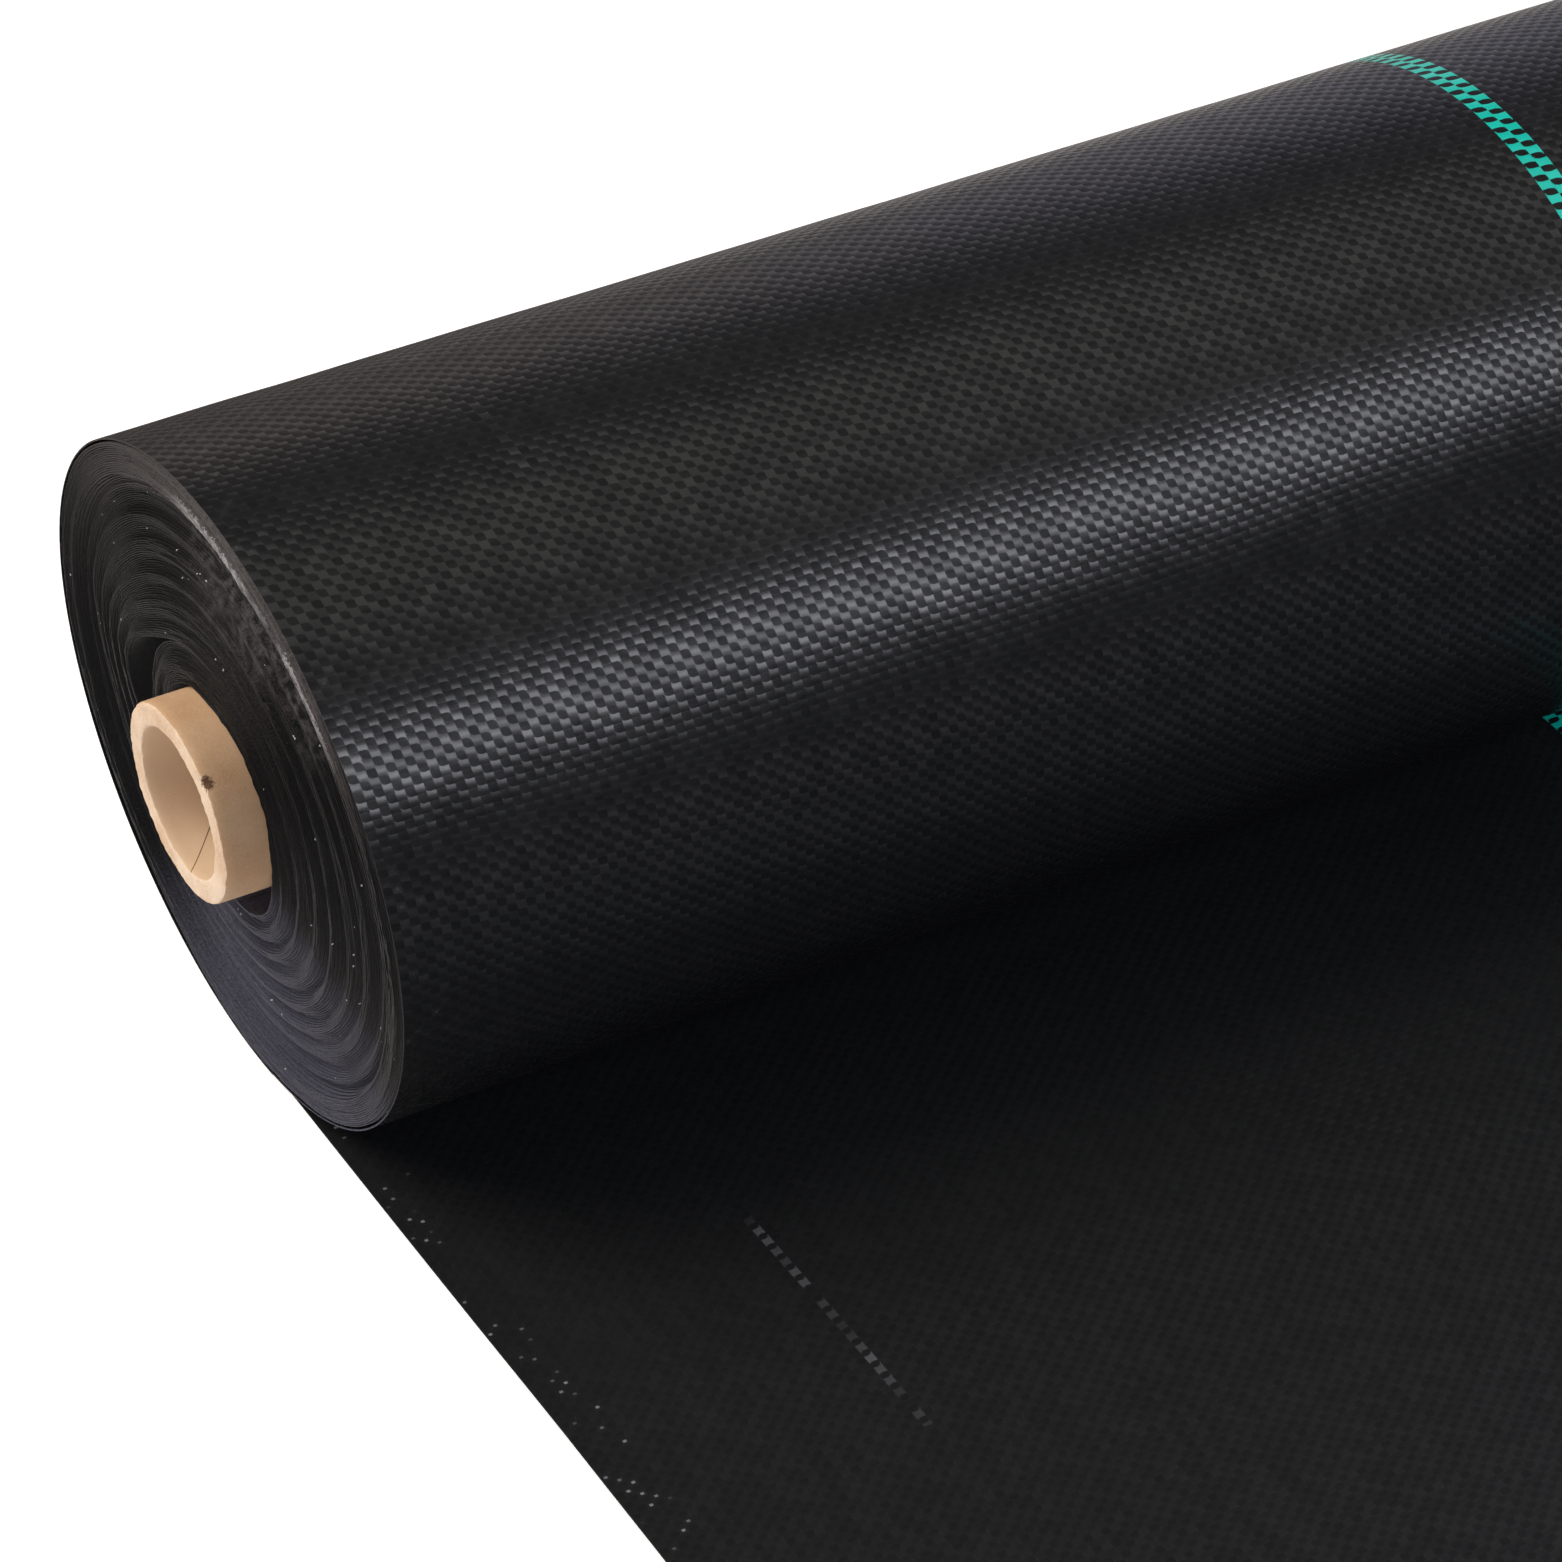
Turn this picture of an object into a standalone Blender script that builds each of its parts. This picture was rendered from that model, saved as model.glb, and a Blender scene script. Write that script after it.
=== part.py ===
"""Roll of woven ground cloth on a paper core, with its free end laid flat in front of it.

X runs along the roll, +Y points away from the laid end and +Z up. The laid cloth's
underside is at z = 0, and the origin is under the middle of the whole object.
Lengths are in metres and angles in radians.
"""

import math

import bmesh
import bpy
import numpy as np

# Cloth
CLOTH_WIDTH = 1.22
CLOTH_THICKNESS = 0.0012
LAID_LENGTH = 0.5
LAID_BEHIND_AXIS = 0.014

# Coloured guide stripes woven into the cloth
STRIPE_WIDTH = 0.0087
STRIPE_THICKNESS = 0.0004
STRIPE_FROM_EDGE = 0.418

# Paper core
CORE_OUTER_RADIUS = 0.0305
CORE_WALL = 0.0075
CORE_OVERHANG = 0.0155
CORE_EDGE_ROUND = 0.0006
CORE_SEGMENTS = 72
CUT_UP_SHARE = 0.043
CUT_BACK_SHARE = 0.022

# Winding
ROLL_RADIUS = 0.105
LAP_COUNT = 24
LAP_GAP = 0.0005
LAP_SEGMENTS = 32
OUTER_LAP_SEGMENTS = 2 * LAP_SEGMENTS

# How far the first laps stand off the core, which leans on their front
LOOSE_BEHIND = 0.011
LOOSE_BELOW = 0.009
LOOSE_ABOVE = 0.0005

# How the laps' edges wander along the roll
LEAN_UP_SHARE = 0.052
LEAN_BACK_SHARE = 0.037
LIP_WIDTH = 0.010
LIP_DEPTH = 0.003
LIP_EASE = 0.004
DISH_AT_CORE_SHARE = -0.6
RIDGE_HEIGHT = 0.0013
RIDGE_COUNT = 7
DRIFT = 0.0006

# Clearances
SEAT_GAP = 0.0003
FACE_SAMPLES = 4
SHARP_ANGLE = math.radians(30)

FULL_TURN = 2 * math.pi
BOTTOM_ANGLE = -math.pi / 2

FIRST_LAP_RADIUS = CORE_OUTER_RADIUS + SEAT_GAP
FIRST_LAP_RISE = CLOTH_THICKNESS + LAP_GAP
LIP_RADIUS = ROLL_RADIUS - LIP_WIDTH
CORE_LENGTH = CLOTH_WIDTH + 2 * CORE_OVERHANG
GROOVE_DEPTH = STRIPE_THICKNESS + SEAT_GAP
GROOVE_WIDTH = STRIPE_WIDTH + 2 * SEAT_GAP
STRIPE_X = CLOTH_WIDTH / 2 - STRIPE_FROM_EDGE
AXIS_HEIGHT = CLOTH_THICKNESS + SEAT_GAP + ROLL_RADIUS
LAID_X = LEAN_UP_SHARE * ROLL_RADIUS


def lap_angle(laps):
    """Angle from +Y towards +Z. The winding ends under the axis, and the laid cloth's side is its front."""
    return BOTTOM_ANGLE + FULL_TURN * (LAP_COUNT - laps)


def hollow_radius(angle):
    """Radius of the loose oval that the first lap leaves round the core."""
    behind, above = math.cos(angle), math.sin(angle)
    loose = LOOSE_BEHIND * max(behind, 0) ** 2 + LOOSE_ABOVE * max(above, 0) ** 2
    return FIRST_LAP_RADIUS + loose + LOOSE_BELOW * min(above, 0) ** 2


def lap_pitch(angle):
    """From one lap to the next at this angle: the laps share what the hollow leaves, evenly."""
    room = ROLL_RADIUS - CLOTH_THICKNESS - FIRST_LAP_RISE - hollow_radius(angle)
    return room / (LAP_COUNT - 1)


def lap_inner_radius(laps):
    """Radius of the cloth's inner face after this many laps from the core."""
    angle = lap_angle(laps)
    return hollow_radius(angle) + FIRST_LAP_RISE * min(laps, 1) + lap_pitch(angle) * max(laps - 1, 0)


def lap_thickness(laps):
    """Thickness of the winding: one cloth at both of its ends, and bundled laps between them."""
    fullness = min(1, laps, LAP_COUNT - laps)
    bundle = lap_pitch(lap_angle(laps)) - LAP_GAP
    return CLOTH_THICKNESS + (bundle - CLOTH_THICKNESS) * fullness


def lap_outer_radius(laps):
    """Radius of the cloth's outer face after this many laps from the core."""
    return lap_inner_radius(laps) + lap_thickness(laps)


def eased(value):
    """Smooth step from nought to one."""
    held = min(max(value, 0), 1)
    return held * held * (3 - 2 * held)


def edge_shift(laps):
    """How far a lap lies along the roll from the core's middle: lean, sunken face, ridges and drift."""
    radius = lap_outer_radius(laps)
    angle = lap_angle(laps)
    lean = -radius * (LEAN_UP_SHARE * math.sin(angle) + LEAN_BACK_SHARE * math.cos(angle))
    inside = (radius - FIRST_LAP_RADIUS) / (LIP_RADIUS - FIRST_LAP_RADIUS)
    sunken = eased((LIP_RADIUS + LIP_EASE - radius) / LIP_EASE)
    dish = LIP_DEPTH * (DISH_AT_CORE_SHARE + (1 - DISH_AT_CORE_SHARE) * min(inside, 1))
    ridges = RIDGE_HEIGHT * math.sin(FULL_TURN * RIDGE_COUNT * inside)
    drift = DRIFT * math.sin(FULL_TURN * laps) * min(1, LAP_COUNT - laps)
    return lean + sunken * (dish + ridges) + drift


def stations():
    """Laps from the core at each section of the winding, closer together on the outer lap."""
    inner = [i / LAP_SEGMENTS for i in range((LAP_COUNT - 1) * LAP_SEGMENTS)]
    outer = [LAP_COUNT - 1 + i / OUTER_LAP_SEGMENTS for i in range(OUTER_LAP_SEGMENTS + 1)]
    return inner, outer


def on_roll(x, radius, angle):
    """Point at this radius and angle about the roll's axis."""
    return (x, radius * math.cos(angle), radius * math.sin(angle))


def groove_run(surface, floor):
    """(x, height) of a cloth's grooved face from right to left, as lips and floors."""
    run = []
    for centre in (STRIPE_X, -STRIPE_X):
        right, left = centre + GROOVE_WIDTH / 2, centre - GROOVE_WIDTH / 2
        run += [(right, surface), (right, floor), (left, floor), (left, surface)]
    return run


def new_object(name, mesh_builder, material, parent, location=(0, 0, 0)):
    """Object from a bmesh, smooth shaded, with its normals facing out."""
    bmesh.ops.recalc_face_normals(mesh_builder, faces=mesh_builder.faces)
    mesh = bpy.data.meshes.new(name)
    mesh_builder.to_mesh(mesh)
    mesh_builder.free()
    mesh.shade_smooth()
    mesh.set_sharp_from_angle(angle=SHARP_ANGLE)
    mesh.materials.append(material)
    obj = bpy.data.objects.new(name, mesh)
    bpy.context.scene.collection.objects.link(obj)
    obj.parent = parent
    obj.location = location
    return obj


def new_empty(name, location):
    """Empty that carries the pieces of one body."""
    empty = bpy.data.objects.new(name, None)
    bpy.context.scene.collection.objects.link(empty)
    empty.location = location
    return empty


def new_material(name, colour, roughness, sheen=0.0):
    """Principled material."""
    material = bpy.data.materials.new(name)
    material.use_nodes = True
    shader = material.node_tree.nodes["Principled BSDF"]
    shader.inputs["Base Color"].default_value = (*colour, 1.0)
    shader.inputs["Roughness"].default_value = roughness
    shader.inputs["Metallic"].default_value = 0.0
    shader.inputs["Sheen Weight"].default_value = sheen
    return material


def bridge(builder, first, second):
    """Quads between two sections of the same number of points."""
    count = len(first)
    for i in range(count):
        after = (i + 1) % count
        builder.faces.new((first[i], first[after], second[after], second[i]))


def loft(sections):
    """Closed solid through sections of the same number of points."""
    builder = bmesh.new()
    rings = [[builder.verts.new(point) for point in section] for section in sections]
    for first, second in zip(rings, rings[1:]):
        bridge(builder, first, second)
    builder.faces.new(rings[0])
    builder.faces.new(rings[-1])
    return builder


def plain_section(laps):
    """Inner face's two edges, then the outer face's two."""
    shift, angle = edge_shift(laps), lap_angle(laps)
    left, right = shift - CLOTH_WIDTH / 2, shift + CLOTH_WIDTH / 2
    inner, outer = lap_inner_radius(laps), lap_outer_radius(laps)
    corners = ((left, inner), (right, inner), (right, outer), (left, outer))
    return [on_roll(x, radius, angle) for x, radius in corners]


def grooved_section(laps):
    """The same with the two stripes' grooves in the outer face."""
    shift, angle = edge_shift(laps), lap_angle(laps)
    outer = lap_outer_radius(laps)
    run = groove_run(outer, outer - GROOVE_DEPTH)
    corners = plain_section(laps)
    return corners[:3] + [on_roll(shift + x, radius, angle) for x, radius in run] + corners[3:]


def winding_mesh():
    """The whole winding as one unbroken spiral, grooved on its outer lap only."""
    inner, outer = stations()
    builder = bmesh.new()
    plain = [[builder.verts.new(p) for p in plain_section(laps)] for laps in inner + outer[:1]]
    grooved = [[builder.verts.new(p) for p in grooved_section(laps)] for laps in outer[1:]]
    for first, second in zip(plain, plain[1:]):
        bridge(builder, first, second)
    for first, second in zip(grooved, grooved[1:]):
        bridge(builder, first, second)
    last, begin = plain[-1], grooved[0]
    in_left, in_right, out_right, out_left = last
    right_lips, left_lips = (begin[3], begin[6]), (begin[7], begin[10])
    builder.faces.new((in_left, in_right, begin[1], begin[0]))
    builder.faces.new((in_right, out_right, begin[2], begin[1]))
    builder.faces.new((out_left, in_left, begin[0], begin[11]))
    builder.faces.new((out_right, out_left, begin[11], *reversed(left_lips), *reversed(right_lips), begin[2]))
    builder.faces.new(begin[3:7])
    builder.faces.new(begin[7:11])
    builder.faces.new(plain[0])
    builder.faces.new(grooved[-1])
    return builder


def roll_stripe_mesh(centre):
    """Stripe lying flush in its groove round the outer lap."""
    outer = stations()[1]
    margin = SEAT_GAP / (FULL_TURN * ROLL_RADIUS)
    laps_at = [outer[1] + margin] + outer[2:]
    sections = []
    for laps in laps_at:
        top, middle, angle = lap_outer_radius(laps), edge_shift(laps) + centre, lap_angle(laps)
        left, right, low = middle - STRIPE_WIDTH / 2, middle + STRIPE_WIDTH / 2, top - STRIPE_THICKNESS
        corners = ((left, low), (right, low), (right, top), (left, top))
        sections.append([on_roll(x, radius, angle) for x, radius in corners])
    return loft(sections)


def core_mesh():
    """Paper tube: its wall's profile, with eased edges, spun round the axis and cut a little out of square."""
    half, outside, inside = CORE_LENGTH / 2, CORE_OUTER_RADIUS, CORE_OUTER_RADIUS - CORE_WALL
    ease = CORE_EDGE_ROUND
    profile = [
        (-half, inside + ease), (-half + ease, inside), (half - ease, inside), (half, inside + ease),
        (half, outside - ease), (half - ease, outside), (-half + ease, outside), (-half, outside - ease),
    ]
    builder = bmesh.new()
    points = [builder.verts.new((x, 0, z)) for x, z in profile]
    edges = [builder.edges.new((points[i], points[(i + 1) % len(points)])) for i in range(len(points))]
    bmesh.ops.spin(
        builder, geom=points + edges, cent=(0, 0, 0), axis=(1, 0, 0), dvec=(0, 0, 0),
        angle=FULL_TURN, steps=CORE_SEGMENTS, use_merge=True, use_duplicate=False,
    )
    for point in builder.verts:
        point.co.x -= CUT_BACK_SHARE * point.co.y + CUT_UP_SHARE * point.co.z
    return builder


def laid_mesh():
    """Flat cloth from its cut edge to just behind the roll's axis, its grooved profile extruded."""
    half = CLOTH_WIDTH / 2
    run = groove_run(CLOTH_THICKNESS, CLOTH_THICKNESS - GROOVE_DEPTH)
    profile = [(-half, 0), (half, 0), (half, CLOTH_THICKNESS), *run, (-half, CLOTH_THICKNESS)]
    builder = bmesh.new()
    face = builder.faces.new([builder.verts.new((x, -LAID_LENGTH, z)) for x, z in profile])
    grown = bmesh.ops.extrude_face_region(builder, geom=[face])
    moved = [item for item in grown["geom"] if isinstance(item, bmesh.types.BMVert)]
    bmesh.ops.translate(builder, verts=moved, vec=(0, LAID_LENGTH + LAID_BEHIND_AXIS, 0))
    return builder


def laid_stripe_mesh(centre):
    """Stripe lying flush in the laid cloth's groove."""
    builder = bmesh.new()
    length = LAID_LENGTH + LAID_BEHIND_AXIS
    bmesh.ops.create_cube(builder, size=1)
    bmesh.ops.scale(builder, vec=(STRIPE_WIDTH, length, STRIPE_THICKNESS), verts=builder.verts)
    middle = (centre, (LAID_BEHIND_AXIS - LAID_LENGTH) / 2, CLOTH_THICKNESS - STRIPE_THICKNESS / 2)
    bmesh.ops.translate(builder, vec=middle, verts=builder.verts)
    return builder


def least_lap_gap():
    """Least distance from points on the winding's inner face to its outer face, across its section."""
    inner, outer = stations()
    laps_at = inner + outer
    low = np.array([on_roll(0, lap_inner_radius(s), lap_angle(s))[1:] for s in laps_at])
    high = np.array([on_roll(0, lap_outer_radius(s), lap_angle(s))[1:] for s in laps_at])
    steps = np.arange(FACE_SAMPLES).reshape(-1, 1, 1) / FACE_SAMPLES
    points = (low[:-1] + steps * (low[1:] - low[:-1])).reshape(-1, 2)
    start, along = high[:-1], high[1:] - high[:-1]
    least = math.inf
    for point in points:
        share = np.clip(((point - start) * along).sum(1) / (along**2).sum(1), 0, 1)
        distance = np.linalg.norm(start + share[:, None] * along - point, axis=1)
        least = min(least, float(distance.min()))
    return least


def build():
    """Clears the scene and makes each piece."""
    for obj in list(bpy.data.objects):
        bpy.data.objects.remove(obj, do_unlink=True)
    black_cloth = new_material("black_cloth", (0.012, 0.012, 0.014), 0.45, sheen=0.2)
    green_tape = new_material("green_tape", (0.02, 0.40, 0.27), 0.35)
    kraft_paper = new_material("kraft_paper", (0.52, 0.33, 0.18), 0.85)

    back_radius = lap_outer_radius(LAP_COUNT - 1 / 4)
    axis_y = (LAID_LENGTH - back_radius) / 2
    roll = new_empty("roll_axis", (0, axis_y, AXIS_HEIGHT))
    ground = new_empty("laid_end", (LAID_X, axis_y, 0))

    new_object("core_tube", core_mesh(), kraft_paper, roll)
    new_object("rolled_cloth", winding_mesh(), black_cloth, roll)
    new_object("laid_cloth", laid_mesh(), black_cloth, ground)
    for side, centre in (("left", -STRIPE_X), ("right", STRIPE_X)):
        new_object(f"rolled_stripe_{side}", roll_stripe_mesh(centre), green_tape, roll)
        new_object(f"laid_stripe_{side}", laid_stripe_mesh(centre), green_tape, ground)
    print(f"least gap between laps: {1000 * least_lap_gap():.3f} mm")


if __name__ == "__main__":
    build()
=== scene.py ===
"""Scene of a part-unrolled roll of woven ground cloth on a kraft paper core.

The roll lies along X with its laid end towards the camera. Lengths are in metres unless a
name ends in _mm, angles are in radians unless a name ends in _degrees, and every piece is
made in the frame's own place.
"""

from __future__ import annotations

import logging
import math
from collections.abc import Callable, Sequence
from dataclasses import dataclass, field
from enum import Enum
from functools import partial

import bmesh
import bpy
from mathutils import Matrix, Vector, noise

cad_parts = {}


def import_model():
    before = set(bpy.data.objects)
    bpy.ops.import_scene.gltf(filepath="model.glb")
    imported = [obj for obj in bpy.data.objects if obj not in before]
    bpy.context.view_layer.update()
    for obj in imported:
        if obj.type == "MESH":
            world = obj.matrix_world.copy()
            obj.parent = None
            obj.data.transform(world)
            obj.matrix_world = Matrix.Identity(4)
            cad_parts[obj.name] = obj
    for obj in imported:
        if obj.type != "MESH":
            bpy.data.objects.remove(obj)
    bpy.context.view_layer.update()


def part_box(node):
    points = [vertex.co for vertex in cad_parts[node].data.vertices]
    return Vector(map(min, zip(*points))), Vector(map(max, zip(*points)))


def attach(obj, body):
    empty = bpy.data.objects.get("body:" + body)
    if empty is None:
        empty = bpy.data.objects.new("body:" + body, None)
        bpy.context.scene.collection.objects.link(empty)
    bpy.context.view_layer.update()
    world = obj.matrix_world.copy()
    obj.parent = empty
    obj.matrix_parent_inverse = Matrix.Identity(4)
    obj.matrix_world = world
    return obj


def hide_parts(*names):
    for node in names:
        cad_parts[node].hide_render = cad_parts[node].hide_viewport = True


LOG = logging.getLogger("ground_cloth_roll")
MM = 0.001
FULL_TURN = 2 * math.pi
BOTTOM = -math.pi / 2
PLASTIC_IOR = 1.49
PAPER_IOR = 1.45
WHITE = (1.0, 1.0, 1.0, 1.0)

# Kinds of node, and the settings that many of them share.
MATH = "ShaderNodeMath"
VECTOR_MATH = "ShaderNodeVectorMath"
RANGE = "ShaderNodeMapRange"
MIX = "ShaderNodeMix"
NOISE = "ShaderNodeTexNoise"
COORDINATES = "ShaderNodeTexCoord"
SPLIT = "ShaderNodeSeparateXYZ"
JOIN = "ShaderNodeCombineXYZ"
SPLIT_COLOUR = "ShaderNodeSeparateColor"
BUMP = "ShaderNodeBump"
PRINCIPLED = "ShaderNodeBsdfPrincipled"
SURFACE = "ShaderNodeOutputMaterial"
MAIN_OUTPUT = {MIX: 2}
COLOURS = {"data_type": "RGBA"}
SMOOTH = {"interpolation_type": "SMOOTHSTEP"}
FLAT = {"noise_dimensions": "2D"}
PLUS = {"operation": "ADD"}
MINUS = {"operation": "SUBTRACT"}
TIMES = {"operation": "MULTIPLY"}
OVER = {"operation": "DIVIDE"}
TIMES_PLUS = {"operation": "MULTIPLY_ADD"}
WITHIN = {"operation": "COMPARE"}
BELOW = {"operation": "LESS_THAN"}
WHOLE = {"operation": "FLOOR"}
COSINE = {"operation": "COSINE"}
UNSIGNED = {"operation": "ABSOLUTE"}

Link = bpy.types.Node | bpy.types.NodeSocket
AddNode = Callable[..., bpy.types.Node]
Pair = tuple[float, float]
Triple = tuple[float, float, float]


class Body(Enum):
    """The frame's two bodies."""

    LAID_END = "laid_end"
    ROLL = "roll"


class Slot(Enum):
    """The record's material slots."""

    CLOTH = "black_cloth"
    PAPER = "kraft_paper"


def linear(hex_colour: str) -> tuple[float, float, float, float]:
    """Turns an sRGB hex colour to linear RGBA.

    Args:
        hex_colour: Six hex digits after a hash sign.

    Returns:
        Red, green, blue and an alpha of one.
    """
    parts = [int(hex_colour[i : i + 2], 16) / 255 for i in (1, 3, 5)]
    red, green, blue = (c / 12.92 if c <= 0.04045 else ((c + 0.055) / 1.055) ** 2.4 for c in parts)
    return (red, green, blue, 1.0)


def add_node(
    tree: bpy.types.NodeTree,
    kind: str,
    settings: dict[str, str] | None = None,
    inputs: dict[str | int, object] | Sequence[object] = (),
) -> bpy.types.Node:
    """Adds a node with its settings, and fills or links its inputs.

    Args:
        tree: Node tree that takes the node.
        kind: The node's type.
        settings: Properties of the node by name.
        inputs: Values, sockets or nodes for its inputs, in their order or by name or index. A
            node stands for its main output.

    Returns:
        The new node.
    """
    node = tree.nodes.new(kind)
    for name, value in (settings or {}).items():
        setattr(node, name, value)
    for key, value in inputs.items() if isinstance(inputs, dict) else enumerate(inputs):
        if isinstance(value, bpy.types.Node):
            value = value.outputs[MAIN_OUTPUT.get(value.bl_idname, 0)]
        if isinstance(value, bpy.types.NodeSocket):
            tree.links.new(value, node.inputs[key])
        else:
            node.inputs[key].default_value = value
    return node


def new_material(name: str) -> tuple[bpy.types.Material, AddNode]:
    """Makes an empty node material.

    Args:
        name: The material's name.

    Returns:
        The material, and add_node for its tree.
    """
    material = bpy.data.materials.new(name)
    material.use_nodes = True
    material.node_tree.nodes.clear()
    return material, partial(add_node, material.node_tree)


def about_axis(add: AddNode, middle: Vector) -> tuple[Link, bpy.types.NodeOutputs, Link]:
    """Finds each point's place from the roll's middle.

    Args:
        add: Adds a node.
        middle: The roll's middle, on its axis.

    Returns:
        The place, its three parts and its distance from the axis.
    """
    raw = add(COORDINATES).outputs["Object"]
    place = add("ShaderNodeMapping", {"vector_type": "POINT"}, {"Vector": raw, "Location": -middle})
    apart = add(SPLIT, {}, (place,)).outputs
    flat = add(JOIN, {}, {1: apart["Y"], 2: apart["Z"]})
    return place, apart, add(VECTOR_MATH, {"operation": "LENGTH"}, (flat,)).outputs["Value"]


def new_piece(name: str, builder: bmesh.types.BMesh, materials: list[bpy.types.Material]) -> bpy.types.Object:
    """Makes a finished shape an object of the scene.

    Args:
        name: The piece's name.
        builder: The shape, which is freed.
        materials: The piece's materials in their order.

    Returns:
        The piece.
    """
    mesh = bpy.data.meshes.new(name)
    builder.to_mesh(mesh)
    builder.free()
    for material in materials:
        mesh.materials.append(material)
    piece = bpy.data.objects.new(name, mesh)
    bpy.context.scene.collection.objects.link(piece)
    return piece


def eased(value: float) -> float:
    """Smooth step from nought to one."""
    held = min(max(value, 0.0), 1.0)
    return held * held * (3 - 2 * held)


@dataclass(frozen=True)
class Lattice:
    """Where each point of the cloth lies in its weave.

    The place is u and v metres from the cloth's corner, in a counted column and row of tapes.
    Index is the column's number, across and along are the place on one float of its tape, and
    dice and chance are three random values and one for each float.
    """

    uv: Link
    u: Link
    v: Link
    column: Link
    row: Link
    index: Link
    across: Link
    along: Link
    stripe: Link
    dice: Link
    chance: Link


@dataclass(frozen=True)
class WovenTape:
    """Plain weave of slit polypropylene tape, black with teal guide tapes.

    Extruded film is slit, drawn and woven flat. Each warp tape floats over one weft and dips
    under the next. The glossy floats mirror the lamps as rows of soft pillows, and the duller
    weft between them stays dark, as dots that show only where a lamp's reflection falls.
    """

    name: str
    glint: float = 1.0
    slack: float = 0.0
    cloth_width: float = 1.22
    warp_pitch_mm: float = 1220 / 428
    weft_pitch_mm: float = 2.71
    bow_mm: float = 6.0
    bow_rate: float = 7.0
    crimp_mm: float = 0.13
    weft_sunk: float = 0.25
    twist: float = 0.85
    lean: float = 0.35
    warp_flat: float = 0.16
    warp_droop: float = 0.12
    weft_flat: float = 0.25
    weft_droop: float = 0.2
    blend: float = 0.1
    seam: Pair = (-0.18, 0.18)
    slack_rate: float = 9.0
    slack_patch: Pair = (0.5, 0.68)
    stripe_columns: tuple[int, int] = (145, 280)
    stripe_span: int = 3
    # Painted glint line on one warp tape: its column, the least chance that shows it, and its stretch.
    glint_line_column: int = 30
    glint_line_least: float = 0.2
    glint_line_middle: float = 0.322
    glint_line_half: float = 0.055
    selvedge_mm: float = 15.0
    # Painted glint dots beside the selvedges: their size on a float, and the patches they show in.
    glint_dot_along: float = 0.09
    glint_dot_across: float = 0.19
    glint_patch_rate: float = 22.0
    glint_patch_share: float = 1.1
    glint_patch_range: Pair = (1.32, 1.55)
    warp_colour: str = "#17181a"
    weft_colour: str = "#141516"
    stripe_colour: str = "#10bfae"
    # Painted glint colours: the line on one tape and the dots beside the selvedges.
    glint_line_colour: str = "#4c4c50"
    glint_dot_colour: str = "#75767e"
    shade_spread: float = 0.06
    warp_roughness: float = 0.27
    weft_roughness: float = 0.4
    weft_sheen: float = 0.2
    warp_sheen: float = 0.5
    sheen_spread: float = 0.25
    sheen_heights: Pair = (-0.7, 0.0)

    def material(self) -> bpy.types.Material:
        """Builds the material on the cloth's own UV map, in metres of flat cloth.

        Returns:
            The material.
        """
        material, add = new_material(self.name)
        weave = self._lattice(add, add(COORDINATES).outputs["UV"])
        height, is_warp = self._relief(add, weave)
        colour = self._selvedge_glints(add, weave, self._colour(add, weave, is_warp))
        gloss = add(RANGE, {}, (is_warp, 0.0, 1.0, self.weft_roughness, self.warp_roughness))
        # Painted shade in the specular level: less reflection in the recesses between tapes, more on the warp
        # crowns.
        crown = add(RANGE, SMOOTH, (height, *self.sheen_heights, self.weft_sheen, self.warp_sheen))
        sheen = add(RANGE, {}, (is_warp, 0.0, 1.0, self.weft_sheen, crown))
        luck = add(RANGE, {}, (weave.chance, 0.0, 1.0, 1 - self.sheen_spread, 1 + self.sheen_spread))
        sheen = add(MATH, TIMES, (sheen, luck))
        taut = add(NOISE, FLAT, {"Vector": weave.uv, "Scale": self.slack_rate, "Detail": 1.0})
        taut = add(RANGE, SMOOTH, (taut, *self.slack_patch, 1.0 - self.slack, 1.0))
        metres = add(MATH, TIMES, (height, self.crimp_mm * MM))
        metres = add(MATH, TIMES, (metres, taut))
        bump = add(BUMP, {}, {"Strength": 1.0, "Distance": 1.0, "Height": metres})
        finish = {"Base Color": colour, "Roughness": gloss, "IOR": PLASTIC_IOR}
        shader = add(PRINCIPLED, {}, {**finish, "Specular IOR Level": sheen, "Normal": bump})
        add(SURFACE, {}, (shader,))
        return material

    def _lattice(self, add: AddNode, uv: Link) -> Lattice:
        """Counts columns and rows of tapes, the rows a little bowed, and finds the float at each place.

        Args:
            add: Adds a node.
            uv: The cloth's UV map.

        Returns:
            The place in the weave.
        """
        apart = add(SPLIT, {}, (uv,))
        u, v = apart.outputs["X"], apart.outputs["Y"]
        column, stripe = self._columns(add, u)
        bow = add(NOISE, FLAT, {"Vector": uv, "Scale": self.bow_rate, "Detail": 1.0})
        bowed = add(MATH, TIMES_PLUS, (bow, self.bow_mm * MM, v))
        row = add(MATH, OVER, (bowed, self.weft_pitch_mm * MM))
        index = add(MATH, WHOLE, (column,))
        across = add(MATH, MINUS, (column, index))
        across = add(MATH, MINUS, (across, 0.5))
        turns = add(MATH, PLUS, (row, index))
        turns = add(MATH, TIMES, (turns, 0.5))
        float_index = add(MATH, WHOLE, (turns,))
        along = add(MATH, MINUS, (turns, float_index))
        place = add(JOIN, {}, (index, float_index))
        random = add("ShaderNodeTexWhiteNoise", FLAT, {"Vector": place}).outputs
        return Lattice(uv, u, v, column, row, index, across, along, stripe, random["Color"], random["Value"])

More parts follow.
